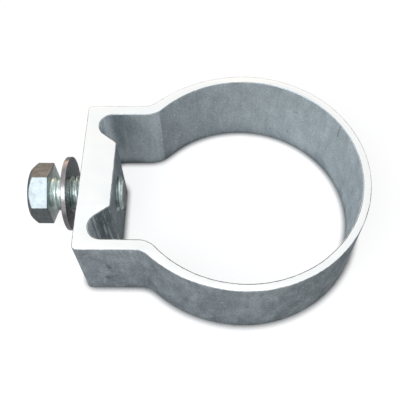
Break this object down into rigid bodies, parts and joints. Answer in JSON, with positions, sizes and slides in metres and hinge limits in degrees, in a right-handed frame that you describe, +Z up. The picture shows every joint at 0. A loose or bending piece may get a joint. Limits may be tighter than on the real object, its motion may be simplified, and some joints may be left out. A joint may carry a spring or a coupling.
{
  "type": "sign post clamp",
  "caption": "Extruded aluminium ring with a flat-faced screw block. A hexagon screw and plain washer hold a sign to the block, and the screw's tip grips the post.",
  "frame": {"origin": "on the axis of the ring, in the lower sawn face that the clamp rests on", "axes": "+Z up along the post, +X from the screw's head through the block towards the far side of the ring, +Y to the side"},
  "size_m": [0.093, 0.0674, 0.025],
  "materials": {
    "extruded_aluminium": "mill finish, die lines along the post axis, sawn ends",
    "zinc_plated_steel": "bright zinc plate",
    "zinc_plated_washer": "bright zinc plate, punched edges"
  },
  "bodies": {
    "clamp": {"clamp_body": "extruded_aluminium"},
    "washer_carrier": {"washer": "zinc_plated_washer"},
    "clamp_screw": {"screw": "zinc_plated_steel"}
  },
  "joints": [
    {"name": "screw_advance", "type": "slide", "parent": "clamp", "child": "washer_carrier", "axis": [1, 0, 0], "range_m": [-0.009, 0.00352]},
    {"name": "screw_turn", "type": "hinge", "parent": "washer_carrier", "child": "clamp_screw", "pos_m": [-0.04425, 0, 0.0142], "axis": [1, 0, 0], "range_deg": [-2165, 850]}
  ],
  "couplings": [
    {"joint": "screw_turn", "follows": "screw_advance", "rad_per_m": 4188.8}
  ]
}
